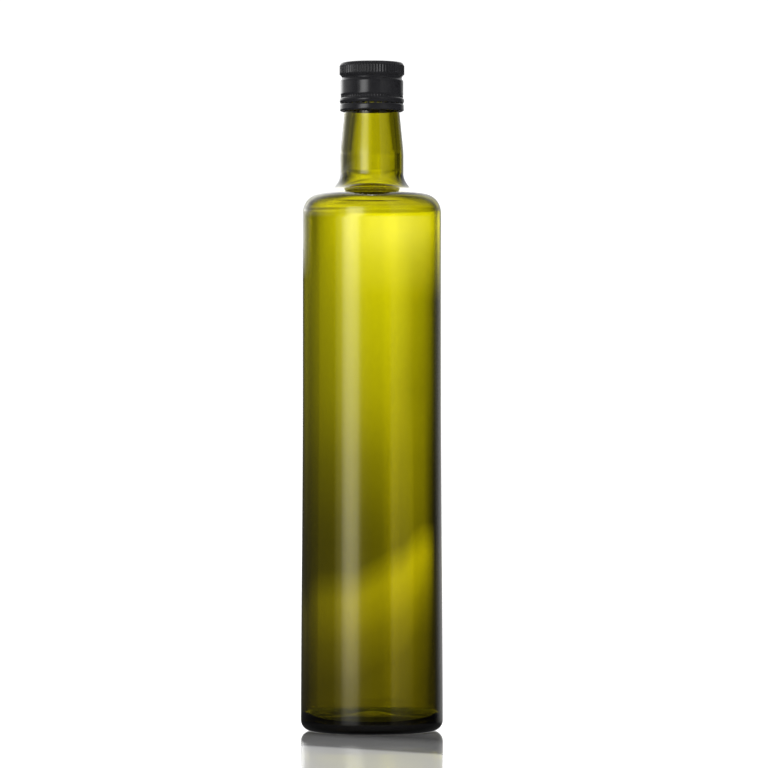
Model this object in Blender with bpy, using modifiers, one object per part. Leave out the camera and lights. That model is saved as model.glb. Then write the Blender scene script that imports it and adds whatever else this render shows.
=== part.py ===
"""An empty olive-green glass oil bottle, tall and round, shut by a black aluminium screw cap.

Metres, +Z up. The origin is the middle of the base, on the surface that the bottle stands on.
"""

import math

import bmesh
import bpy
from mathutils import Matrix

# Whole bottle
TOTAL_HEIGHT = 0.310
BODY_RADIUS = 0.0321
HEEL_RADIUS = 0.0330
WALL = 0.0022
CLEARANCE = 0.0003

# Base: a standing ring round a shallow push-up, with a domed floor inside
HEEL_ROUNDING = 0.0050
STANDING_RING_WIDTH = 0.0015
PUSH_UP = 0.0045
FLARE_TOP = 0.165
FLOOR_HEIGHT = 0.0040
FLOOR_DOME = 0.0046
FLOOR_ROUNDING = 0.0055

# Shoulder: a round corner, a short slope and a hollow fillet up into the neck
CORNER_HEIGHT = 0.2404
CORNER_ROUNDING = 0.0090
SLOPE = math.radians(19)
NECK_FILLET = 0.0080
BORE_FILLET = 0.0120

# Neck: a straight foot, a slight bend and a cone that narrows up to the cap, with an even wall
NECK_RADIUS = 0.01465
NECK_TOP_RADIUS = 0.0128
NECK_WALL = 0.00325
BEND_HEIGHT = 0.2665
BEND_ROUNDING = 0.040

# Finish: the plain glass inside the cap
LOCK_RING_RADIUS = 0.01315
LOCK_RING_BOTTOM = 0.2892
LOCK_RING_TOP = 0.2922
FINISH_RADIUS = 0.0129
LIP_RADIUS = 0.0124
LIP_ROUNDING = 0.0010

# Cap: a thin shell
CAP_BOTTOM = 0.2872
CAP_THICKNESS = 0.0006
CAP_INNER_RADIUS = 0.0135
RIM_RADIUS = 0.0147
RIM_ROUNDING = 0.0014
SKIRT_RADIUS = 0.0146
BEAD_RADIUS = 0.0150
BAND_RADIUS = 0.01485
HEM_INNER_RADIUS = 0.01415

# Grooves round the cap: height, radius at the bottom of the groove, half its width
NECKING = (0.30265, 0.0139, 0.0013)
TEAR_GROOVE = (0.2939, 0.0142, 0.0009)
SLOT_GROOVE = (0.2907, 0.0145, 0.0006)

# Ribs round the cap's head, and finer ones in the tear groove
RIB_COUNT = 68
RIB_RADIUS = 0.01505
RIB_VALLEY_RADIUS = 0.01475
RIB_BOTTOM = 0.3041
RIB_TOP = 0.3086
FINE_RIB_COUNT = 64
FINE_RIB_RADIUS = 0.01455
FINE_RIB_VALLEY_RADIUS = 0.01425
FINE_RIB_HEIGHT = 0.0008

# Slots in the lower groove, with a narrow bridge left between each two
SLOT_COUNT = 26
SLOT_HEIGHT = 0.0004
SLOT_SHARE = 0.7

# Facets round each turned piece
GLASS_STEPS = 56
CAP_STEPS = 68
SHARP_ANGLE = math.radians(30)


def clear_scene():
    for item in list(bpy.data.objects):
        bpy.data.objects.remove(item, do_unlink=True)


def new_collection(name):
    made = bpy.data.collections.new(name)
    bpy.context.scene.collection.children.link(made)
    return made


def new_material(name, colour, roughness, metallic, transmission):
    made = bpy.data.materials.new(name)
    made.use_nodes = True
    made.diffuse_color = (*colour, 1.0)
    shader = made.node_tree.nodes["Principled BSDF"]
    shader.inputs["Base Color"].default_value = (*colour, 1.0)
    shader.inputs["Roughness"].default_value = roughness
    shader.inputs["Metallic"].default_value = metallic
    shader.inputs["Transmission Weight"].default_value = transmission
    return made


def evaluated_mesh(item):
    """A new mesh of the item as its modifiers leave it."""
    graph = bpy.context.evaluated_depsgraph_get()
    return bpy.data.meshes.new_from_object(item.evaluated_get(graph))


def mesh_of(name, form):
    mesh = bpy.data.meshes.new(name)
    form.to_mesh(mesh)
    form.free()
    return mesh


def arc(centre, radius, start, end, steps):
    """Points (r, z) on an arc round centre, from angle start to angle end, in radians."""
    points = []
    for i in range(steps + 1):
        angle = start + (end - start) * i / steps
        points.append((centre[0] + radius * math.cos(angle), centre[1] + radius * math.sin(angle)))
    return points


def dome(radius, rise, foot, steps):
    """Points (r, z) from the top of a smooth mound out to just inside its edge."""
    points = []
    for i in range(steps):
        share = i / steps
        points.append((radius * share, foot + rise * (1 + math.cos(math.pi * share)) / 2))
    return points


def wall_radius(height):
    """Outer radius of the side wall, which widens a little down towards the heel."""
    share = max(0.0, 1 - height / FLARE_TOP)
    return BODY_RADIUS + (HEEL_RADIUS - BODY_RADIUS) * share * share * (3 - 2 * share)


def shoulder(inset, fillet, neck_radius):
    """Points (r, z) from the side wall over the round corner, up the slope and into the neck."""
    corner_centre = (BODY_RADIUS - CORNER_ROUNDING, CORNER_HEIGHT)
    corner = arc(corner_centre, CORNER_ROUNDING - inset, 0, math.pi / 2 - SLOPE, 5)
    slope_end = neck_radius + fillet * (1 - math.sin(SLOPE))
    slope_rise = (corner[-1][0] - slope_end) * math.tan(SLOPE)
    fillet_centre = (neck_radius + fillet, corner[-1][1] + slope_rise + fillet * math.cos(SLOPE))
    return corner + arc(fillet_centre, fillet, 1.5 * math.pi - SLOPE, math.pi, 5)


def neck(inset):
    """Points (r, z) up the neck, from its bend to the top of its cone."""
    lean = math.atan((NECK_RADIUS - NECK_TOP_RADIUS) / (CAP_BOTTOM - BEND_HEIGHT))
    bend_centre = (NECK_RADIUS - BEND_ROUNDING, BEND_HEIGHT)
    return arc(bend_centre, BEND_ROUNDING - inset, 0, lean, 2) + [(NECK_TOP_RADIUS - inset, CAP_BOTTOM)]


def finish(mouth):
    """Points (r, z) up the outside of the finish, from its lock ring to its lip."""
    return [
        (NECK_TOP_RADIUS, LOCK_RING_BOTTOM),
        (LOCK_RING_RADIUS, LOCK_RING_BOTTOM + CLEARANCE),
        (LOCK_RING_RADIUS, LOCK_RING_TOP),
        (FINISH_RADIUS, LOCK_RING_TOP + CLEARANCE),
        (FINISH_RADIUS, mouth - 3 * LIP_ROUNDING),
    ] + arc((LIP_RADIUS - LIP_ROUNDING, mouth - LIP_ROUNDING), LIP_ROUNDING, 0, math.pi / 2, 3)


def glass_outside(mouth):
    """Points (r, z) from the middle of the push-up round the outside to the lip."""
    ring_outer = HEEL_RADIUS - HEEL_ROUNDING
    ring_inner = ring_outer - STANDING_RING_WIDTH
    base = dome(ring_inner, PUSH_UP, 0, 5) + [(ring_inner, 0)]
    heel = arc((ring_outer, HEEL_ROUNDING), HEEL_ROUNDING, -math.pi / 2, 0, 5)
    side = [(wall_radius(FLARE_TOP * share), FLARE_TOP * share) for share in (0.3, 0.65, 1.0)]
    return base + heel + side + shoulder(0, NECK_FILLET, NECK_RADIUS) + neck(0) + finish(mouth)


def glass_inside(mouth):
    """Points (r, z) from the middle of the floor up the inside to the mouth."""
    heel_top = FLOOR_HEIGHT + FLOOR_ROUNDING
    heel_centre = (wall_radius(heel_top) - WALL - FLOOR_ROUNDING, heel_top)
    floor = dome(heel_centre[0], FLOOR_DOME, FLOOR_HEIGHT, 4)
    heel = arc(heel_centre, FLOOR_ROUNDING, -math.pi / 2, 0, 4)
    side = [(wall_radius(FLARE_TOP * share) - WALL, FLARE_TOP * share) for share in (0.5, 1.0)]
    upper = shoulder(WALL, BORE_FILLET, NECK_RADIUS - NECK_WALL) + neck(NECK_WALL)
    bore_radius = NECK_TOP_RADIUS - NECK_WALL
    bore = [(bore_radius, mouth - LIP_ROUNDING), (bore_radius + LIP_ROUNDING / 2, mouth)]
    return floor + heel + side + upper + bore


def groove(place, upper_radius, lower_radius):
    """Points (r, z) down into a groove and out again."""
    height, radius, half = place
    return [
        (upper_radius, height + half),
        (radius, height + half / 3),
        (radius, height - half / 3),
        (lower_radius, height - half),
    ]


def cap_outside():
    """Points (r, z) from the middle of the cap's top down to its lower hem."""
    rim_centre = (RIM_RADIUS - RIM_ROUNDING, TOTAL_HEIGHT - RIM_ROUNDING)
    hem = (BAND_RADIUS - HEM_INNER_RADIUS) / 2
    return (
        [(0, TOTAL_HEIGHT)]
        + arc(rim_centre, RIM_ROUNDING, math.pi / 2, 0, 3)
        + groove(NECKING, RIM_RADIUS, SKIRT_RADIUS)
        + groove(TEAR_GROOVE, SKIRT_RADIUS, BEAD_RADIUS - CLEARANCE / 2)
        + [(BEAD_RADIUS, (TEAR_GROOVE[0] + SLOT_GROOVE[0]) / 2)]
        + groove(SLOT_GROOVE, BEAD_RADIUS - CLEARANCE / 2, BAND_RADIUS)
        + [(BAND_RADIUS, CAP_BOTTOM + hem), (BAND_RADIUS - hem, CAP_BOTTOM)]
    )


def cap_inside():
    """Points (r, z) from the cap's lower hem up to the middle of its ceiling."""
    ceiling = TOTAL_HEIGHT - CAP_THICKNESS
    return [
        (HEM_INNER_RADIUS, CAP_BOTTOM),
        (CAP_INNER_RADIUS, CAP_BOTTOM + 2 * CAP_THICKNESS),
        (CAP_INNER_RADIUS, ceiling),
        (0, ceiling),
    ]


def turned(name, outline, steps, material, collection):
    """A solid of revolution round Z. Its outline (r, z) runs down the outer side."""
    mesh = bpy.data.meshes.new(name)
    edges = [(i, i + 1) for i in range(len(outline) - 1)]
    mesh.from_pydata([(r, 0, z) for r, z in outline], edges, [])
    mesh.materials.append(material)
    made = bpy.data.objects.new(name, mesh)
    collection.objects.link(made)
    screw = made.modifiers.new("turn", "SCREW")
    screw.axis = "Z"
    screw.steps = steps
    screw.render_steps = steps
    screw.use_merge_vertices = True
    screw.merge_threshold = 0.00001
    return made


def helper(name, mesh, collection):
    """A hidden mesh that a Boolean joins to the cap or cuts from it."""
    made = bpy.data.objects.new(name, mesh)
    made.hide_render = True
    made.display_type = "WIRE"
    collection.objects.link(made)
    return made


def add_loop(curve, radii, count):
    """A closed flat outline round Z, whose points lie at each of the radii in turn."""
    spline = curve.splines.new("POLY")
    spline.points.add(count - 1)
    for i in range(count):
        angle = 2 * math.pi * i / count
        radius = radii[i % len(radii)]
        spline.points[i].co = (radius * math.cos(angle), radius * math.sin(angle), 0, 1)
    spline.use_cyclic_u = True


def ribbed_ring(name, count, crest, valley, bottom, top, collection):
    """A ring with pointed ribs round its outside, whose inner face lies within the cap's wall."""
    curve = bpy.data.curves.new(name, "CURVE")
    curve.dimensions = "2D"
    curve.fill_mode = "BOTH"
    curve.extrude = (top - bottom) / 2
    add_loop(curve, (crest, valley), 2 * count)
    add_loop(curve, ((CAP_INNER_RADIUS + valley) / 2,), CAP_STEPS)
    outline = bpy.data.objects.new(name, curve)
    collection.objects.link(outline)
    bpy.context.view_layer.update()
    form = bmesh.new()
    form.from_mesh(evaluated_mesh(outline))
    bmesh.ops.remove_doubles(form, verts=form.verts, dist=0.00001)
    bmesh.ops.translate(form, verts=form.verts, vec=(0, 0, (top + bottom) / 2))
    bpy.data.objects.remove(outline, do_unlink=True)
    return helper(name, mesh_of(name, form), collection)


def slot_cutter(collection):
    """Small blocks through the cap's wall, one for each slot of the lower groove."""
    height, radius, _ = SLOT_GROOVE
    length = 2 * math.pi / SLOT_COUNT * radius * SLOT_SHARE
    depth = 3 * (radius - CAP_INNER_RADIUS)
    middle = (radius + CAP_INNER_RADIUS) / 2
    form = bmesh.new()
    for i in range(SLOT_COUNT):
        turn = Matrix.Rotation(2 * math.pi * (i + 0.5) / SLOT_COUNT, 4, "Z")
        place = turn @ Matrix.Translation((middle, 0, height))
        size = Matrix.Diagonal((depth, length, SLOT_HEIGHT, 1))
        bmesh.ops.create_cube(form, size=1, matrix=place @ size)
    return helper("slot_cutter", mesh_of("slot_cutter", form), collection)


def boolean(item, operand, operation):
    change = item.modifiers.new(operand.name, "BOOLEAN")
    change.operation = operation
    change.object = operand
    change.solver = "EXACT"


def shade(item):
    """Applies the modifiers, then shades the round faces smooth and keeps the edges crisp."""
    bpy.context.view_layer.update()
    mesh = evaluated_mesh(item)
    item.modifiers.clear()
    item.data = mesh
    mesh.shade_smooth()
    mesh.set_sharp_from_angle(angle=SHARP_ANGLE)


def make_bottle(collection):
    mouth = TOTAL_HEIGHT - CAP_THICKNESS - CLEARANCE
    outline = glass_inside(mouth) + glass_outside(mouth)[::-1]
    glass = new_material("olive_glass", (0.50, 0.49, 0.02), 0.03, 0.0, 1.0)
    shade(turned("glass_bottle", outline, GLASS_STEPS, glass, collection))


def make_cap(collection, helpers):
    """One shell, whose lower band still hangs on the bridges between its slots."""
    lacquer = new_material("black_lacquer", (0.016, 0.016, 0.018), 0.3, 0.0, 0.0)
    cap = turned("screw_cap", cap_outside() + cap_inside(), CAP_STEPS, lacquer, collection)
    ribs = ribbed_ring("ribs", RIB_COUNT, RIB_RADIUS, RIB_VALLEY_RADIUS, RIB_BOTTOM, RIB_TOP, helpers)
    fine_bottom = TEAR_GROOVE[0] - FINE_RIB_HEIGHT / 2
    fine_top = TEAR_GROOVE[0] + FINE_RIB_HEIGHT / 2
    fine_ribs = ribbed_ring(
        "fine_ribs", FINE_RIB_COUNT, FINE_RIB_RADIUS, FINE_RIB_VALLEY_RADIUS, fine_bottom, fine_top, helpers
    )
    boolean(cap, ribs, "UNION")
    boolean(cap, fine_ribs, "UNION")
    boolean(cap, slot_cutter(helpers), "DIFFERENCE")
    shade(cap)


def main():
    clear_scene()
    parts = new_collection("oil_bottle")
    helpers = new_collection("helpers")
    make_bottle(parts)
    make_cap(parts, helpers)


main()
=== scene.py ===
"""Looks of the olive-green glass oil bottle with its black screw cap, in a white studio."""

import math

import bmesh
import bpy
from mathutils import Matrix, Vector, noise


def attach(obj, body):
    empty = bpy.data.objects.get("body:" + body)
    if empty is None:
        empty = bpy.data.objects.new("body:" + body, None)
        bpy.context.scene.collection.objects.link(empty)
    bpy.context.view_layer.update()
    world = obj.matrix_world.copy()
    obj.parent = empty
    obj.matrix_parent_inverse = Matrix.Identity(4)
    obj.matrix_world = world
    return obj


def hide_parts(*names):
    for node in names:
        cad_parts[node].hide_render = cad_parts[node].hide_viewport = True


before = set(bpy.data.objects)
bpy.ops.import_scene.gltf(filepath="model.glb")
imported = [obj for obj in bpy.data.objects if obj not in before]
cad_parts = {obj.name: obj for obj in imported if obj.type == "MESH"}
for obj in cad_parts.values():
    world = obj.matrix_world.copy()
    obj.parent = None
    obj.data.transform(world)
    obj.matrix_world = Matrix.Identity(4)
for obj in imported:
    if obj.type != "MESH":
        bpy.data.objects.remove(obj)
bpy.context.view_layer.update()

# Sizes are in metres and are those of the solids, apart from the ribs, which are finer here.

# Whole bottle
TOTAL_HEIGHT = 0.310
BODY_RADIUS = 0.0321
HEEL_RADIUS = 0.0330
WALL = 0.0022
CLEARANCE = 0.0003

# Base
HEEL_ROUNDING = 0.0050
STANDING_RING_WIDTH = 0.0015
PUSH_UP = 0.0045
FLARE_TOP = 0.165
FLOOR_HEIGHT = 0.0040
FLOOR_DOME = 0.0046
FLOOR_ROUNDING = 0.0055

# Shoulder
CORNER_HEIGHT = 0.2404
CORNER_ROUNDING = 0.0090
SLOPE = math.radians(19)
NECK_FILLET = 0.0080
BORE_FILLET = 0.0120

# Neck
NECK_RADIUS = 0.01465
NECK_TOP_RADIUS = 0.0128
NECK_WALL = 0.00325
BEND_HEIGHT = 0.2665
BEND_ROUNDING = 0.040
BORE_RADIUS = NECK_TOP_RADIUS - NECK_WALL

# Finish inside the cap
LOCK_RING_RADIUS = 0.01315
LOCK_RING_BOTTOM = 0.2892
LOCK_RING_TOP = 0.2922
FINISH_RADIUS = 0.0129
LIP_RADIUS = 0.0124
LIP_ROUNDING = 0.0010

# Cap
CAP_BOTTOM = 0.2872
CAP_THICKNESS = 0.0006
CAP_INNER_RADIUS = 0.0135
RIM_RADIUS = 0.0147
RIM_ROUNDING = 0.0014
SKIRT_RADIUS = 0.0146
BEAD_RADIUS = 0.0150
BAND_RADIUS = 0.01485
HEM_INNER_RADIUS = 0.01415
NECKING = (0.30265, 0.0139, 0.0013)
TEAR_GROOVE = (0.2939, 0.0142, 0.0009)
SLOT_GROOVE = (0.2907, 0.0145, 0.0006)
RIB_COUNT = 68
RIB_DEPTH = 0.00035
RIB_BOTTOM = 0.3039
RIB_TOP = 0.3088
FINE_RIB_COUNT = 64
FINE_RIB_DEPTH = 0.00030
FINE_RIB_HALF = 0.0005
RIB_END = 0.0005
RIB_SHARPNESS = 0.8
FINE_RIB_SHARPNESS = 2
SLOT_COUNT = 26
SLOT_HEIGHT = 0.0004
SLOT_SHARE = 0.7

# Fineness of the turned meshes
GLASS_STEPS = 256
CAP_STEPS = RIB_COUNT * 8
WALL_STEP = 0.004
CAP_STEP = 0.00035
CORNER_REACH = 0.0004
LARGE_ARC_STEPS = 16
FLOOR_ARC_STEPS = 12
SMALL_ARC_STEPS = 8
LIP_ARC_STEPS = 6
PUSH_UP_STEPS = 24
FLOOR_DOME_STEPS = 20
MERGE_DISTANCE = 0.000001
GLASS_SHARP_ANGLE = 40
CAP_SHARP_ANGLE = 50

# How far the inside and the outside of the glass stray from a true turned shape. Their waves come from a
# noise that is read on a tube of a given radius and stretch, and are at their full depth from a height up.
INNER_WAVE = 0.000012
OUTER_WAVE = 0.000004
WAVE_TUBE_RADIUS = 2.2
WAVE_TUBE_STRETCH = 14
WAVE_FULL_HEIGHT = FLARE_TOP / 6

# Glass: two tints that drift into each other, and what its thickness takes from the light
GLASS_TINTS = ((0.84, 0.82, 0.28, 1), (0.86, 0.84, 0.32, 1))
GLASS_STREAKS = (60, 60, 9)
GLASS_GRAIN = (900, 900, 900)
GLASS_GRAIN_SPAN = (0.35, 0.75)
GLASS_ROUGHNESS = (0.0, 0.015)
GLASS_IOR = 1.52
GLASS_ABSORBS = (0.921, 0.9125, 0.02, 1)
GLASS_DENSITY = 1000.0

# Lacquer on the cap
LACQUER_TONES = ((0.010, 0.010, 0.011, 1), (0.019, 0.019, 0.022, 1))
LACQUER_CLOUDS = (220, 220, 220)
LACQUER_CLOUD_SPAN = (0.3, 0.7)
LACQUER_ROUGHNESS = (0.09, 0.16)
PEEL_SCALE = (2600, 2600, 2600)
PEEL_STRENGTH = 0.04
PEEL_DEPTH = 0.0001

# Camera: place and lens that fit the photograph, and the point it looks at
CAMERA_PLACE = Vector((0.0, -2.0, 0.150))
CAMERA_TARGET = Vector((0.0056, 0.0, 0.1607))
CAMERA_LENS = 202.0
CAMERA_SENSOR = 36.0
CAMERA_CLIP = 100.0

# Table. Its shadow is a painted shadow, darker tones in its colour, in a strip that slants to one side.
# Each stop is a distance in front of the bottle, behind it where negative, and the table's tone there.
FLOOR_REACH = 3.0
TABLE_TONE = 0.98
TABLE_ROUGHNESS = 0.05
TABLE_IOR = 1.3
SHADOW_HALF_WIDTH = 0.033
SHADOW_EDGE = 0.0015
SHADOW_SLANT = 0.8
SHADOW_AHEAD = (
    (-0.06, TABLE_TONE),
    (-0.02, 0.35),
    (0.03, 0.17),
    (0.06, 0.32),
    (0.108, 0.36),
    (0.12, TABLE_TONE),
)

# Painted shade under the bottle: a dark disc, with its tones by distance from the bottle's axis
SHADE_RADIUS = 0.065
SHADE_STEPS = 64
SHADE_DEPTH = 0.0002
SHADE_TONES = ((0.03, 0.015), (0.045, 0.035), (0.065, 0.1))

# The light in the studio. From here on, azimuth is in degrees from straight behind the bottle, positive
# to the right, and elevation in degrees above level. Each stop is an angle and the light's level there.
# A pair of elevations named FROM or BELOW is where something fades in or out.
WHITE_LEVEL = 1.1
SOFTBOX_LEAN = 7.0
SOFTBOX_LEANS_FROM = (2.7, 3.3)
SOFTBOX_ACROSS = (
    (-175, 0),
    (-168, 0.06),
    (-164, 0.15),
    (-160, 0.6),
    (-156, 1.7),
    (-146, 2.5),
    (-137, 2.3),
    (-131, 1.35),
    (-127, 0.35),
    (-119, 0.2),
    (-115, 0),
)
SOFTBOX_UPWARD = (
    (-20, 0),
    (-8, 0.2),
    (-3.6, 0.42),
    (-2.8, 0.65),
    (-0.7, 1),
    (1.5, 1),
    (2.4, 1.4),
    (6, 1.5),
    (13, 0.95),
    (22, 0),
)

# What surfaces mirror besides the softbox
MIRRORED_WALL = (
    (-12, 0.05),
    (-8, 0.6),
    (-5.5, 1.5),
    (5.5, 1.5),
    (10, 0.55),
    (19, 0.4),
    (27, 0.42),
    (34, 0.36),
    (44, 0.2),
    (52, 0.05),
    (60, 0.02),
    (105, 0.02),
    (122, 0.11),
    (147, 0.2),
    (151, 0.03),
)
MIRRORED_WALL_UPWARD = (
    (-12, 0),
    (-5, 0.75),
    (-3, 1.3),
    (-1.5, 1.2),
    (0.5, 1),
    (1.8, 1),
    (2.4, 0.75),
    (3.2, 0.9),
    (4.2, 1.4),
)
MIRRORED_TABLE = ((60, 0.06), (140, 0.19))
MIRRORED_TABLE_UPWARD = (
    (-80, 0.3),
    (-60, 0.7),
    (-14, 1),
    (-5, 0),
)
UPPER_LEFT_FROM = (1.7, 2.2)
MIRRORED_UPPER_LEFT = (
    (-60, 0),
    (-39, 0.5),
    (-27, 1.1),
    (-10, 1.1),
    (-6, 0),
)
MIRRORED_HIGH_LEFT = (
    (-125, 0),
    (-85, 0.35),
    (-60, 0.5),
    (-50, 0.65),
    (-40, 1),
    (-25, 1),
    (-20, 0),
)
MIRRORED_HIGH_LEFT_UPWARD = (
    (2.8, 0),
    (3.4, 1),
    (3.95, 1),
    (4.15, 2),
    (4.7, 2),
    (5.2, 1),
    (14, 1),
    (20, 0.15),
)
MIRRORED_FRONT = (
    (60, 0),
    (92, 0.5),
    (110, 0.8),
    (125, 1),
    (150, 1.1),
    (180, 0.84),
    (196, 0.6),
    (210, 0.3),
    (225, 0),
)
MIRRORED_FRONT_UPWARD = (
    (1.5, 0),
    (1.95, 0.35),
    (2.3, 1),
    (2.9, 1),
    (3.15, 0),
)
CEILING_FROM = (14.0, 28.0)
MIRRORED_CEILING = (
    (-100, 0.1),
    (-60, 0.25),
    (-30, 0.6),
    (-12, 1.6),
    (5, 1.6),
    (12, 0.9),
    (30, 0.35),
    (60, 0.2),
    (100, 0.1),
)

# What the glass shows of the wall and of the table in front of it. The wall's levels across change with
# elevation, from the lower wall up to the top, and then where the neck and the shoulder look.
LOWER_WALL_BELOW = (-1.6, 0.2)
TOP_WALL_FROM = (1.4, 2.4)
NECK_FROM = (2.7, 3.5)
UPPER_WALL_ACROSS = (
    (-20, 0.3),
    (-14, 0.3),
    (-6.5, 0.38),
    (-6, 0.5),
    (-2.9, 0.55),
    (-1.9, 0.85),
    (-0.9, 1),
    (1.9, 1),
    (3.3, 0.7),
    (6.5, 0.5),
    (8.5, 0.38),
    (12, 0.2),
    (15, 0.1),
    (20, 0.03),
)
LOWER_WALL_ACROSS = (
    (-20, 0.2),
    (-6.5, 0.27),
    (-6, 0.45),
    (-2.9, 0.48),
    (-2.4, 0.72),
    (-1.2, 1.2),
    (-0.3, 1),
    (0.9, 1.1),
    (1.25, 1.65),
    (3, 1.75),
    (3.4, 1.35),
    (5.5, 1.15),
    (7, 0.75),
    (8.5, 0.4),
    (10, 0.2),
    (13, 0.03),
)
TOP_WALL_ACROSS = (
    (-20, 0.17),
    (-8, 0.19),
    (-6, 0.34),
    (-2.9, 0.53),
    (-1.2, 0.88),
    (0, 1),
    (1.5, 1.02),
    (3.3, 0.9),
    (9, 0.98),
    (15, 1.0),
    (27, 0.85),
    (40, 0.1),
)
NECK_ACROSS = (
    (-36, 0.05),
    (-22, 0.1),
    (-15, 0.32),
    (-7.5, 0.62),
    (-3.2, 0.98),
    (-1.2, 0.94),
    (0.3, 0.72),
    (4.8, 0.64),
    (12.3, 0.5),
    (20, 0.5),
    (30, 0.1),
    (45, 0.05),
)
SHOULDER_ACROSS = (
    (-20, 0.08),
    (-9, 0.25),
    (-3, 0.5),
    (-1, 0.78),
    (0.3, 0.88),
    (3, 0.82),
    (6, 0.55),
    (13, 0.35),
    (20, 0.15),
)
SHOULDER_UPWARD = ((4.2, 0), (4.9, 1), (7, 1), (8.8, 0))
TABLE_ACROSS = (
    (-20, 0.16),
    (-8, 0.26),
    (-6.5, 0.3),
    (-6, 0.45),
    (-2.9, 0.48),
    (-2.4, 0.62),
    (-1.2, 1),
    (0, 1),
    (0.9, 1.02),
    (1.25, 1.45),
    (3, 1.65),
    (3.4, 1.45),
    (6.5, 1.4),
    (12, 1.2),
    (20, 0.5),
)
WALL_UPWARD = (
    (-1.8, 0.22),
    (-1.5, 0.26),
    (-0.7, 0.47),
    (0.1, 0.84),
    (1.4, 1.25),
    (2, 1.66),
    (2.4, 2.04),
    (2.6, 2.04),
    (3.2, 1.4),
    (3.8, 1.35),
    (4.6, 1.55),
    (5.6, 1.55),
    (6.5, 1.25),
    (8, 1.5),
    (10, 1.7),
    (20, 0.9),
)
TABLE_BEYOND_EDGE = (
    (0, 0.68),
    (0.3, 0.68),
    (0.55, 0.55),
    (0.8, 0.38),
    (1.1, 0.275),
    (1.3, 0.215),
    (2.1, 0.21),
    (5.5, 0.16),
    (9, 0.08),
    (12, 0.04),
)
TABLE_FADE_SHIFT = 4.0
TABLE_FADE_REACH = 2.0
TABLE_FADE = ((6.5, 1.0), (16, 0.1))
TABLE_EDGE_DROP = (
    (-20, 2.35),
    (-1, 2.35),
    (1, 2.09),
    (1.9, 2),
    (3.2, 1.8),
    (5, 1.7),
    (13, 1.62),
    (20, 1.6),
)
TABLE_EDGE_SOFTNESS = 0.2

# The rest of what the glass shows: panels all round, dark sides, where the wall and the table end, what is
# left of light that was mirrored before or that lights the floor, and the warm tone low down
PANEL_COUNT = 8
PANEL_LEVELS = (0.28, 0.8)
SIDES = ((40, 0.03), (60, 0.2), (120, 0.2), (140, 0.05))
BEHIND = (45, 60)
EYE_LEVEL = ((-9, 0), (-6, 1), (9, 1), (13, 0))
TABLE_FOOT = (-15.5, -14)
TABLE_NARROWING = 0.15
MIRRORED_CENTRE = (10.0, 16.0)
MIRRORED_SHARE = 0.25
SHADOW_SHARE = 0.3
WARM_BELOW = (-3.5, 1.0)
WARM = (1, 0.89, 0.8, 1)
NEUTRAL = (1, 1, 1, 1)


def arc(centre, radius, start, end, steps):
    """Points (r, z) on an arc round centre, from angle start to angle end, in radians."""
    points = []
    for i in range(steps + 1):
        angle = start + (end - start) * i / steps
        points.append((centre[0] + radius * math.cos(angle), centre[1] + radius * math.sin(angle)))
    return points


def dome(radius, rise, foot, steps):
    """Points (r, z) from the top of a smooth mound out to just inside its edge."""
    points = []
    for i in range(steps):
        share = i / steps
        points.append((radius * share, foot + rise * (1 + math.cos(math.pi * share)) / 2))
    return points


def wall_radius(height):
    """Outer radius of the side wall, which widens a little down towards the heel."""
    share = max(0.0, 1 - height / FLARE_TOP)
    return BODY_RADIUS + (HEEL_RADIUS - BODY_RADIUS) * share * share * (3 - 2 * share)


def side(inset, foot):
    """Points (r, z) up the side wall, from just above its foot to just under the shoulder."""
    count = round((CORNER_HEIGHT - foot) / WALL_STEP)
    heights = [foot + (CORNER_HEIGHT - foot) * i / count for i in range(1, count)]
    return [(wall_radius(z) - inset, z) for z in heights]


def shoulder(inset, fillet, neck_radius):
    """Points (r, z) from the side wall over the round corner, up the slope and into the neck."""
    corner_centre = (BODY_RADIUS - CORNER_ROUNDING, CORNER_HEIGHT)
    corner = arc(corner_centre, CORNER_ROUNDING - inset, 0, math.pi / 2 - SLOPE, LARGE_ARC_STEPS)
    slope_end = neck_radius + fillet * (1 - math.sin(SLOPE))
    slope_rise = (corner[-1][0] - slope_end) * math.tan(SLOPE)
    fillet_centre = (neck_radius + fillet, corner[-1][1] + slope_rise + fillet * math.cos(SLOPE))
    return corner + arc(fillet_centre, fillet, 1.5 * math.pi - SLOPE, math.pi, LARGE_ARC_STEPS)


def neck(inset):
    """Points (r, z) up the neck, from its bend to the top of its cone."""
    lean = math.atan((NECK_RADIUS - NECK_TOP_RADIUS) / (CAP_BOTTOM - BEND_HEIGHT))
    bend_centre = (NECK_RADIUS - BEND_ROUNDING, BEND_HEIGHT)
    bend = arc(bend_centre, BEND_ROUNDING - inset, 0, lean, SMALL_ARC_STEPS)
    return bend + finer([bend[-1], (NECK_TOP_RADIUS - inset, CAP_BOTTOM)], WALL_STEP)[1:]


def finish(mouth):
    """Points (r, z) up the outside of the finish, from its lock ring to its lip."""
    lip_centre = (LIP_RADIUS - LIP_ROUNDING, mouth - LIP_ROUNDING)
    lip = arc(lip_centre, LIP_ROUNDING, 0, math.pi / 2, LIP_ARC_STEPS)
    return [
        (NECK_TOP_RADIUS, LOCK_RING_BOTTOM),
        (LOCK_RING_RADIUS, LOCK_RING_BOTTOM + CLEARANCE),
        (LOCK_RING_RADIUS, LOCK_RING_TOP),
        (FINISH_RADIUS, LOCK_RING_TOP + CLEARANCE),
        (FINISH_RADIUS, mouth - 3 * LIP_ROUNDING),
    ] + lip


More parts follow.
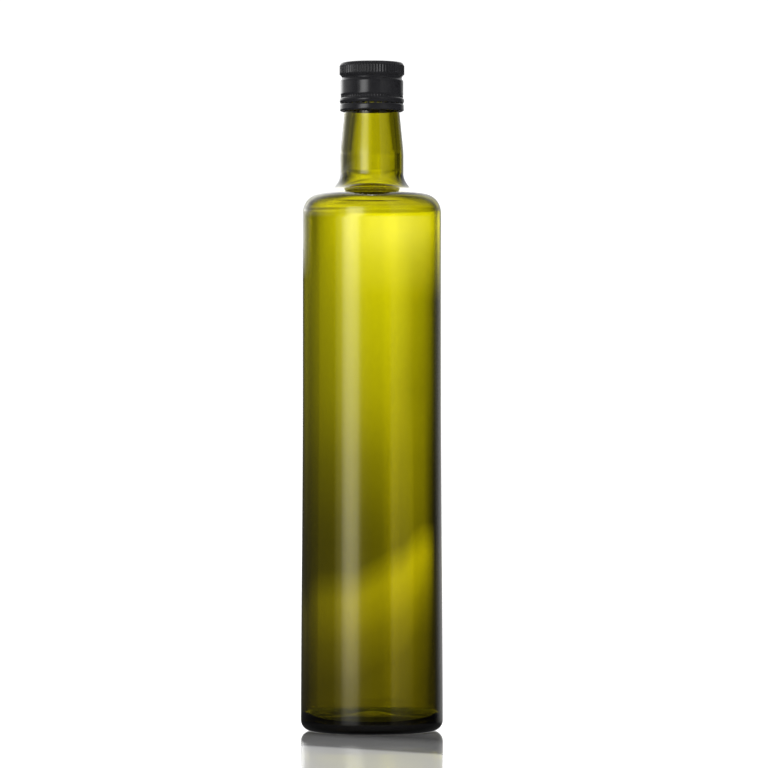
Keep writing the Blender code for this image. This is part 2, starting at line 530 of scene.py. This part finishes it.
def glass_outside(mouth):
    """Points (r, z) from the middle of the push-up round the outside to the lip."""
    ring_outer = HEEL_RADIUS - HEEL_ROUNDING
    ring_inner = ring_outer - STANDING_RING_WIDTH
    base = dome(ring_inner, PUSH_UP, 0, PUSH_UP_STEPS) + [(ring_inner, 0)]
    heel = arc((ring_outer, HEEL_ROUNDING), HEEL_ROUNDING, -math.pi / 2, 0, LARGE_ARC_STEPS)
    upper = shoulder(0, NECK_FILLET, NECK_RADIUS) + neck(0) + finish(mouth)
    return base + heel + side(0, HEEL_ROUNDING) + upper


def glass_inside(mouth):
    """Points (r, z) from the middle of the floor up the inside to the mouth."""
    heel_top = FLOOR_HEIGHT + FLOOR_ROUNDING
    heel_centre = (wall_radius(heel_top) - WALL - FLOOR_ROUNDING, heel_top)
    floor = dome(heel_centre[0], FLOOR_DOME, FLOOR_HEIGHT, FLOOR_DOME_STEPS)
    heel = arc(heel_centre, FLOOR_ROUNDING, -math.pi / 2, 0, FLOOR_ARC_STEPS)
    upper = shoulder(WALL, BORE_FILLET, NECK_RADIUS - NECK_WALL) + neck(NECK_WALL)
    bore = finer([upper[-1], (BORE_RADIUS, mouth - LIP_ROUNDING)], WALL_STEP)[1:]
    return floor + heel + side(WALL, heel_top) + upper + bore + [(BORE_RADIUS + LIP_ROUNDING / 2, mouth)]


def groove(place, upper_radius, lower_radius):
    """Points (r, z) down into a groove and out again."""
    height, radius, half = place
    return [
        (upper_radius, height + half),
        (radius, height + half / 3),
        (radius, height - half / 3),
        (lower_radius, height - half),
    ]


def cap_outside():
    """Points (r, z) from the middle of the cap's top down to its lower hem, corners rounded."""
    rim_centre = (RIM_RADIUS - RIM_ROUNDING, TOTAL_HEIGHT - RIM_ROUNDING)
    hem = (BAND_RADIUS - HEM_INNER_RADIUS) / 2
    lower = (
        groove(NECKING, RIM_RADIUS, SKIRT_RADIUS)
        + groove(TEAR_GROOVE, SKIRT_RADIUS, BEAD_RADIUS - CLEARANCE / 2)
        + [(BEAD_RADIUS, (TEAR_GROOVE[0] + SLOT_GROOVE[0]) / 2)]
        + groove(SLOT_GROOVE, BEAD_RADIUS - CLEARANCE / 2, BAND_RADIUS)
        + [(BAND_RADIUS, CAP_BOTTOM + hem), (BAND_RADIUS - hem, CAP_BOTTOM)]
    )
    rim = arc(rim_centre, RIM_ROUNDING, math.pi / 2, 0, SMALL_ARC_STEPS)
    return [(0, TOTAL_HEIGHT)] + rim + finer(rounded([rim[-1]] + lower), CAP_STEP)[1:]


def cap_inside():
    """Points (r, z) from the cap's lower hem up to the middle of its ceiling."""
    ceiling = TOTAL_HEIGHT - CAP_THICKNESS
    return [
        (HEM_INNER_RADIUS, CAP_BOTTOM),
        (CAP_INNER_RADIUS, CAP_BOTTOM + 2 * CAP_THICKNESS),
        (CAP_INNER_RADIUS, ceiling),
        (0, ceiling),
    ]


def rounded(points):
    """The same line with each corner between its ends made into a short curve."""
    result = [points[0]]
    for before, corner, after in zip(points, points[1:], points[2:]):
        start = towards(corner, before)
        end = towards(corner, after)
        for share in (0.0, 0.33, 0.67, 1.0):
            result.append(mixed(mixed(start, corner, share), mixed(corner, end, share), share))
    return result + [points[-1]]


def towards(corner, other):
    """The point where a corner's curve meets the side that leads to the other point."""
    length = math.dist(corner, other)
    return mixed(corner, other, min(CORNER_REACH, length / 2) / length)


def mixed(a, b, share):
    """The point between a and b that lies the given share of the way to b."""
    return (a[0] + (b[0] - a[0]) * share, a[1] + (b[1] - a[1]) * share)


def finer(points, step):
    """The same line with points added so that none are much further apart than step."""
    result = [points[0]]
    for a, b in zip(points, points[1:]):
        count = max(1, round(math.dist(a, b) / step))
        result += [mixed(a, b, i / count) for i in range(1, count + 1)]
    return result


def placed(name, mesh):
    """A new object in the scene with this mesh."""
    made = bpy.data.objects.new(name, mesh)
    bpy.context.scene.collection.objects.link(made)
    return made


def placed_form(name, form):
    """A new object in the scene with the shape of a bmesh, which is used up."""
    mesh = bpy.data.meshes.new(name)
    form.to_mesh(mesh)
    form.free()
    return placed(name, mesh)


def revolve(name, outline, steps, radius_at):
    """A closed mesh turned round Z from an outline (r, z) that runs down its outer side."""
    form = bmesh.new()
    rings = []
    for index, (r, z) in enumerate(outline):
        ring = []
        for i in range(steps):
            angle = 2 * math.pi * i / steps
            radius = radius_at(index, r, z, angle)
            ring.append(form.verts.new((radius * math.cos(angle), radius * math.sin(angle), z)))
        rings.append(ring)
    for upper, lower in zip(rings, rings[1:]):
        for i in range(steps):
            j = (i + 1) % steps
            form.faces.new((upper[i], lower[i], lower[j], upper[j]))
    bmesh.ops.remove_doubles(form, verts=form.verts, dist=MERGE_DISTANCE)
    return placed_form(name, form)


def smooth(item, angle):
    """Shades a mesh smooth, apart from edges sharper than an angle in degrees."""
    item.data.shade_smooth()
    item.data.set_sharp_from_angle(angle=math.radians(angle))


def make_bottle():
    """The blown glass, slightly wavy, and more so on its inside than on its outside."""
    mouth = TOTAL_HEIGHT - CAP_THICKNESS - CLEARANCE
    inside = glass_inside(mouth)
    outline = inside + glass_outside(mouth)[::-1]

    def radius_at(index, r, z, angle):
        """Ripples that run along the bottle, as glass keeps them when it is blown."""
        if r < BORE_RADIUS / 2 or z > LOCK_RING_BOTTOM:
            return r
        sideways = WAVE_TUBE_RADIUS * math.cos(angle)
        away = WAVE_TUBE_RADIUS * math.sin(angle)
        where = Vector((sideways, away, WAVE_TUBE_STRETCH * z))
        wave = INNER_WAVE if index < len(inside) else OUTER_WAVE
        return r + wave * min(1.0, z / WAVE_FULL_HEIGHT) * noise.noise(where)

    bottle = revolve("glass_body", outline, GLASS_STEPS, radius_at)
    smooth(bottle, GLASS_SHARP_ANGLE)
    return bottle


def cap_ribs(z, angle):
    """How far the ribs of the head, or the fine ones in the tear groove, stand out here."""
    head = min(1.0, max(0.0, min(z - RIB_BOTTOM, RIB_TOP - z) / RIB_END))
    crest = (0.5 + 0.5 * math.cos(RIB_COUNT * angle)) ** RIB_SHARPNESS
    fine = max(0.0, 1 - abs(z - TEAR_GROOVE[0]) / FINE_RIB_HALF)
    fine_crest = (0.5 + 0.5 * math.cos(FINE_RIB_COUNT * angle)) ** FINE_RIB_SHARPNESS
    return RIB_DEPTH * head * crest + FINE_RIB_DEPTH * min(1.0, 2 * fine) * fine_crest


def slot_blocks():
    """The blocks that cut the slots, as one mesh object."""
    height, radius, _ = SLOT_GROOVE
    depth = 3 * (radius - CAP_INNER_RADIUS)
    length = 2 * math.pi / SLOT_COUNT * radius * SLOT_SHARE
    size = Matrix.Diagonal((depth, length, SLOT_HEIGHT, 1))
    form = bmesh.new()
    for i in range(SLOT_COUNT):
        turn = Matrix.Rotation(2 * math.pi * (i + 0.5) / SLOT_COUNT, 4, "Z")
        place = Matrix.Translation(((radius + CAP_INNER_RADIUS) / 2, 0, height))
        bmesh.ops.create_cube(form, size=1, matrix=turn @ place @ size)
    return placed_form("slot_blocks", form)


def make_cap():
    """The cap's shell with its ribs, grooves and rolled hem, and the slots cut through it."""
    outside = cap_outside()

    def radius_at(index, r, z, angle):
        if index >= len(outside) or r < CAP_INNER_RADIUS:
            return r
        return r + cap_ribs(z, angle)

    cap = revolve("cap_shell", outside + cap_inside(), CAP_STEPS, radius_at)
    blocks = slot_blocks()
    cut = cap.modifiers.new("slots", "BOOLEAN")
    cut.operation = "DIFFERENCE"
    cut.object = blocks
    cut.solver = "EXACT"
    bpy.context.view_layer.update()
    graph = bpy.context.evaluated_depsgraph_get()
    cap.data = bpy.data.meshes.new_from_object(cap.evaluated_get(graph))
    cap.modifiers.clear()
    bpy.data.objects.remove(blocks, do_unlink=True)
    smooth(cap, CAP_SHARP_ANGLE)
    return cap


def new_nodes(owner):
    """Clears an owner's node tree and returns it with a function that adds nodes to it."""
    owner.use_nodes = True
    tree = owner.node_tree
    tree.nodes.clear()

    def add(kind, **settings):
        node = tree.nodes.new("ShaderNode" + kind)
        for key, value in settings.items():
            setattr(node, key, value)
        return node

    return tree, add


def feed(tree, socket, value):
    """Puts a number or colour on a socket, or links another node's output to it."""
    if isinstance(value, bpy.types.NodeSocket):
        tree.links.new(value, socket)
    else:
        socket.default_value = value


def noise_texture(tree, add, scale, detail):
    """A cloudy value from 0 to 1, with object coordinates scaled along each axis."""
    coords = add("TexCoord")
    mapping = add("Mapping")
    feed(tree, mapping.inputs["Vector"], coords.outputs["Object"])
    feed(tree, mapping.inputs["Scale"], scale)
    texture = add("TexNoise")
    feed(tree, texture.inputs["Vector"], mapping.outputs["Vector"])
    feed(tree, texture.inputs["Scale"], 1.0)
    feed(tree, texture.inputs["Detail"], detail)
    return texture.outputs["Fac"]


def ranged(tree, add, value, from_min, from_max, to_min, to_max):
    """A Map Range node from one range to another, clamped at both ends."""
    node = add("MapRange")
    for name, given in (
        ("Value", value),
        ("From Min", from_min),
        ("From Max", from_max),
        ("To Min", to_min),
        ("To Max", to_max),
    ):
        feed(tree, node.inputs[name], given)
    return node.outputs["Result"]


def mixed_colour(tree, add, share, a, b):
    """A mix of two colours: a where the share is 0, b where it is 1."""
    node = add("Mix", data_type="RGBA")
    for name, given in (("Factor", share), ("A", a), ("B", b)):
        feed(tree, node.inputs[name], given)
    return node.outputs["Result"]


def glass_material():
    """Olive-green bottle glass: clear surfaces, tinted through its thickness."""
    made = bpy.data.materials.new("olive_glass_clear")
    tree, add = new_nodes(made)
    output = add("OutputMaterial")
    shader = add("BsdfPrincipled")
    streaks = noise_texture(tree, add, GLASS_STREAKS, detail=3.0)
    feed(tree, shader.inputs["Base Color"], mixed_colour(tree, add, streaks, *GLASS_TINTS))
    grain = noise_texture(tree, add, GLASS_GRAIN, detail=2.0)
    roughness = ranged(tree, add, grain, *GLASS_GRAIN_SPAN, *GLASS_ROUGHNESS)
    feed(tree, shader.inputs["Roughness"], roughness)
    shader.inputs["IOR"].default_value = GLASS_IOR
    shader.inputs["Transmission Weight"].default_value = 1.0
    absorb = add("VolumeAbsorption")
    absorb.inputs["Color"].default_value = GLASS_ABSORBS
    absorb.inputs["Density"].default_value = GLASS_DENSITY
    tree.links.new(shader.outputs["BSDF"], output.inputs["Surface"])
    tree.links.new(absorb.outputs["Volume"], output.inputs["Volume"])
    return made


def cap_material():
    """Black lacquer on thin aluminium: semi-gloss, a little uneven, faintly orange-peeled."""
    made = bpy.data.materials.new("black_lacquer_semigloss")
    tree, add = new_nodes(made)
    output = add("OutputMaterial")
    shader = add("BsdfPrincipled")
    cloud = noise_texture(tree, add, LACQUER_CLOUDS, detail=4.0)
    feed(tree, shader.inputs["Base Color"], mixed_colour(tree, add, cloud, *LACQUER_TONES))
    roughness = ranged(tree, add, cloud, *LACQUER_CLOUD_SPAN, *LACQUER_ROUGHNESS)
    feed(tree, shader.inputs["Roughness"], roughness)
    peel = noise_texture(tree, add, PEEL_SCALE, detail=2.0)
    bump = add("Bump")
    feed(tree, bump.inputs["Height"], peel)
    feed(tree, bump.inputs["Strength"], PEEL_STRENGTH)
    feed(tree, bump.inputs["Distance"], PEEL_DEPTH)
    feed(tree, shader.inputs["Normal"], bump.outputs["Normal"])
    tree.links.new(shader.outputs["BSDF"], output.inputs["Surface"])
    return made


def dress(piece, node, material):
    """Gives a piece its material and lets it stand for a node of the frame."""
    piece.data.materials.clear()
    piece.data.materials.append(material)
    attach(piece, "root")
    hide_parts(node)


def math_node(tree, add, operation, a, b=0.0, c=0.0):
    """The result of a Math node with up to three numbers or other nodes' outputs."""
    node = add("Math", operation=operation)
    for socket, value in zip(node.inputs, (a, b, c)):
        feed(tree, socket, value)
    return node.outputs["Value"]


def product(tree, add, a, b):
    return math_node(tree, add, "MULTIPLY", a, b)


def total(tree, add, a, b):
    return math_node(tree, add, "ADD", a, b)


def blended(tree, add, share, a, b):
    """A mix of two numbers: a where the share is 0, b where it is 1."""
    node = add("Mix", data_type="FLOAT")
    for name, given in (("Factor", share), ("A", a), ("B", b)):
        feed(tree, node.inputs[name], given)
    return node.outputs["Result"]


def profile(tree, add, value, stops):
    """A level that runs straight from one stop (place, level) to the next."""
    first = stops[0][0]
    reach = stops[-1][0] - first
    highest = max(level for _, level in stops)
    ramp = add("ValToRGB")
    elements = ramp.color_ramp.elements
    for place, _ in stops[1:-1]:
        elements.new((place - first) / reach)
    for element, (place, level) in zip(elements, stops):
        element.position = (place - first) / reach
        element.color = (level / highest, level / highest, level / highest, 1)
    feed(tree, ramp.inputs["Fac"], ranged(tree, add, value, first, first + reach, 0.0, 1.0))
    return product(tree, add, ramp.outputs["Color"], highest)


def make_floor():
    """The pale table with a shadow painted into its colour. The glass shows the table that is in the
    world, not this one.
    """
    mesh = bpy.data.meshes.new("floor")
    corners = [(-1, -1, 0), (1, -1, 0), (1, 1, 0), (-1, 1, 0)]
    mesh.from_pydata([Vector(corner) * FLOOR_REACH for corner in corners], [], [(0, 1, 2, 3)])
    floor = placed("floor", mesh)
    floor.visible_glossy = False
    floor.visible_transmission = False
    made = bpy.data.materials.new("pale_table_painted_shadow")
    tree, add = new_nodes(made)
    output = add("OutputMaterial")
    shader = add("BsdfPrincipled")
    coords = add("TexCoord")
    split = add("SeparateXYZ")
    feed(tree, split.inputs["Vector"], coords.outputs["Object"])
    sideways = product(tree, add, split.outputs["X"], -SHADOW_SLANT)
    ahead = math_node(tree, add, "SUBTRACT", sideways, split.outputs["Y"])
    aside = math_node(tree, add, "ABSOLUTE", split.outputs["X"])
    edge = (SHADOW_HALF_WIDTH - SHADOW_EDGE, SHADOW_HALF_WIDTH + SHADOW_EDGE)
    inside = ranged(tree, add, aside, *edge, 1.0, 0.0)
    # Painted shadow: the table's tone drops to darker levels in a slanted strip under and in front of the
    # bottle
    tone = blended(tree, add, inside, TABLE_TONE, profile(tree, add, ahead, SHADOW_AHEAD))
    feed(tree, shader.inputs["Base Color"], tone)
    shader.inputs["Roughness"].default_value = TABLE_ROUGHNESS
    shader.inputs["IOR"].default_value = TABLE_IOR
    tree.links.new(shader.outputs["BSDF"], output.inputs["Surface"])
    mesh.materials.append(made)


def make_shade():
    """The painted shade under the bottle: a dark disc just below the table, which shows only through the
    glass.
    """
    form = bmesh.new()
    bmesh.ops.create_circle(form, cap_ends=True, segments=SHADE_STEPS, radius=SHADE_RADIUS)
    bmesh.ops.translate(form, verts=form.verts, vec=(0, 0, -SHADE_DEPTH))
    shade = placed_form("shade", form)
    shade.visible_camera = False
    shade.visible_diffuse = False
    shade.visible_glossy = False
    made = bpy.data.materials.new("painted_shade_under_bottle")
    tree, add = new_nodes(made)
    output = add("OutputMaterial")
    shader = add("BsdfDiffuse")
    coords = add("TexCoord")
    distance = add("VectorMath", operation="LENGTH")
    feed(tree, distance.inputs["Vector"], coords.outputs["Object"])
    # Painted shade: darkest under the middle of the bottle, paler further out
    feed(tree, shader.inputs["Color"], profile(tree, add, distance.outputs["Value"], SHADE_TONES))
    tree.links.new(shader.outputs["BSDF"], output.inputs["Surface"])
    shade.data.materials.append(made)


def mirrored_room(tree, add, azimuth, elevation):
    """What surfaces mirror besides the softbox: pale strips all round, a ceiling and the table."""
    wall = product(
        tree,
        add,
        profile(tree, add, azimuth, MIRRORED_WALL),
        profile(tree, add, elevation, MIRRORED_WALL_UPWARD),
    )
    upper_left = product(
        tree,
        add,
        profile(tree, add, azimuth, MIRRORED_UPPER_LEFT),
        ranged(tree, add, elevation, *UPPER_LEFT_FROM, 0.0, 1.0),
    )
    high_left = product(
        tree,
        add,
        profile(tree, add, azimuth, MIRRORED_HIGH_LEFT),
        profile(tree, add, elevation, MIRRORED_HIGH_LEFT_UPWARD),
    )
    left = total(tree, add, upper_left, high_left)
    front = product(
        tree,
        add,
        profile(tree, add, math_node(tree, add, "WRAP", azimuth, 360.0, 0.0), MIRRORED_FRONT),
        profile(tree, add, elevation, MIRRORED_FRONT_UPWARD),
    )
    ceiling = product(
        tree,
        add,
        profile(tree, add, azimuth, MIRRORED_CEILING),
        ranged(tree, add, elevation, *CEILING_FROM, 0.0, 1.0),
    )
    aside = math_node(tree, add, "ABSOLUTE", azimuth)
    table = product(
        tree,
        add,
        profile(tree, add, aside, MIRRORED_TABLE),
        profile(tree, add, elevation, MIRRORED_TABLE_UPWARD),
    )
    room = total(tree, add, total(tree, add, wall, left), total(tree, add, front, ceiling))
    return total(tree, add, room, table)


def softbox(tree, add, azimuth, elevation):
    """The softbox in front on the left, shifted towards the camera a little above eye level."""
    lean = ranged(tree, add, elevation, *SOFTBOX_LEANS_FROM, 0.0, SOFTBOX_LEAN)
    across = profile(tree, add, total(tree, add, azimuth, lean), SOFTBOX_ACROSS)
    return product(tree, add, across, profile(tree, add, elevation, SOFTBOX_UPWARD))


def wall_seen_through(tree, add, azimuth, elevation):
    """The wall behind the bottle, darker towards the table, and the table, darker towards the camera."""
    low = ranged(tree, add, elevation, *LOWER_WALL_BELOW, 1.0, 0.0)
    top = ranged(tree, add, elevation, *TOP_WALL_FROM, 0.0, 1.0)
    across = blended(
        tree,
        add,
        low,
        profile(tree, add, azimuth, UPPER_WALL_ACROSS),
        profile(tree, add, azimuth, LOWER_WALL_ACROSS),
    )
    across = blended(tree, add, top, across, profile(tree, add, azimuth, TOP_WALL_ACROSS))
    neck_high = ranged(tree, add, elevation, *NECK_FROM, 0.0, 1.0)
    across = blended(tree, add, neck_high, across, profile(tree, add, azimuth, NECK_ACROSS))
    shoulder_high = profile(tree, add, elevation, SHOULDER_UPWARD)
    across = blended(tree, add, shoulder_high, across, profile(tree, add, azimuth, SHOULDER_ACROSS))
    wall = product(tree, add, across, profile(tree, add, elevation, WALL_UPWARD))
    drop = product(tree, add, elevation, -1.0)
    past_edge = math_node(tree, add, "SUBTRACT", drop, profile(tree, add, azimuth, TABLE_EDGE_DROP))
    table = product(
        tree,
        add,
        profile(tree, add, azimuth, TABLE_ACROSS),
        profile(tree, add, past_edge, TABLE_BEYOND_EDGE),
    )
    near_edge = math_node(tree, add, "MINIMUM", past_edge, TABLE_FADE_REACH)
    shift = total(tree, add, azimuth, product(tree, add, near_edge, TABLE_FADE_SHIFT))
    table = product(tree, add, table, profile(tree, add, shift, TABLE_FADE))
    on_table = ranged(tree, add, past_edge, -TABLE_EDGE_SOFTNESS, TABLE_EDGE_SOFTNESS, 0.0, 1.0)
    return blended(tree, add, on_table, wall, table)


def room_seen_through(tree, add, azimuth, elevation, mirrored_before):
    """What the glass shows: the wall behind, dark sides at eye level and pale panels elsewhere."""
    bars = math_node(tree, add, "COSINE", product(tree, add, azimuth, math.radians(PANEL_COUNT)))
    panels = ranged(tree, add, bars, -1.0, 1.0, *PANEL_LEVELS)
    aside = math_node(tree, add, "ABSOLUTE", azimuth)
    sides = profile(tree, add, aside, SIDES)
    eye_level = profile(tree, add, elevation, EYE_LEVEL)
    around = blended(tree, add, eye_level, panels, sides)
    wall = wall_seen_through(tree, add, azimuth, elevation)
    middle_dimmed = ranged(tree, add, aside, *MIRRORED_CENTRE, MIRRORED_SHARE, 1.0)
    wall = blended(tree, add, mirrored_before, wall, product(tree, add, wall, middle_dimmed))
    behind = ranged(tree, add, aside, *BEHIND, 1.0, 0.0)
    above = math_node(tree, add, "MULTIPLY_ADD", aside, -TABLE_NARROWING, elevation)
    not_below = ranged(tree, add, above, *TABLE_FOOT, 0.0, 1.0)
    return blended(tree, add, product(tree, add, behind, not_below), around, wall)


def make_world():
    """A white studio, with a softbox and dark sides for what the glass and the lacquer show."""
    world = bpy.data.worlds.new("studio")
    bpy.context.scene.world = world
    # Rays find this light by themselves, because it depends on the kind of ray
    world.cycles.sampling_method = "NONE"
    tree, add = new_nodes(world)
    output = add("OutputWorld")
    path = add("LightPath")
    coords = add("TexCoord")
    split = add("SeparateXYZ")
    feed(tree, split.inputs["Vector"], coords.outputs["Generated"])
    turn = math_node(tree, add, "ARCTAN2", split.outputs["X"], split.outputs["Y"])
    rise = math_node(tree, add, "ARCSINE", split.outputs["Z"])
    azimuth = math_node(tree, add, "DEGREES", turn)
    elevation = math_node(tree, add, "DEGREES", rise)
    box = softbox(tree, add, azimuth, elevation)
    mirrored = total(tree, add, mirrored_room(tree, add, azimuth, elevation), box)
    mirrored_before = math_node(tree, add, "MINIMUM", path.outputs["Glossy Depth"], 1.0)
    through = room_seen_through(tree, add, azimuth, elevation, mirrored_before)
    through = total(tree, add, through, box)
    after_floor = math_node(tree, add, "MINIMUM", path.outputs["Diffuse Depth"], 1.0)
    left_over = ranged(tree, add, after_floor, 0.0, 1.0, 1.0, SHADOW_SHARE)
    through = product(tree, add, through, left_over)
    level = blended(tree, add, path.outputs["Is Glossy Ray"], WHITE_LEVEL, mirrored)
    level = blended(tree, add, path.outputs["Is Transmission Ray"], level, through)
    low = ranged(tree, add, elevation, *WARM_BELOW, 1.0, 0.0)
    warmth = product(tree, add, low, path.outputs["Is Transmission Ray"])
    glow = add("Background")
    feed(tree, glow.inputs["Color"], mixed_colour(tree, add, warmth, NEUTRAL, WARM))
    feed(tree, glow.inputs["Strength"], level)
    tree.links.new(glow.outputs["Background"], output.inputs["Surface"])


def make_camera():
    """The camera at the photograph's angle."""
    data = bpy.data.cameras.new("camera")
    data.lens = CAMERA_LENS
    data.sensor_width = CAMERA_SENSOR
    data.clip_end = CAMERA_CLIP
    camera = bpy.data.objects.new("camera", data)
    bpy.context.scene.collection.objects.link(camera)
    camera.location = CAMERA_PLACE
    camera.rotation_euler = (CAMERA_TARGET - CAMERA_PLACE).to_track_quat("-Z", "Y").to_euler()
    bpy.context.scene.camera = camera


bpy.context.scene.view_settings.view_transform = "Standard"
make_camera()
make_world()
make_floor()
make_shade()
dress(make_bottle(), "glass_bottle", glass_material())
dress(make_cap(), "screw_cap", cap_material())
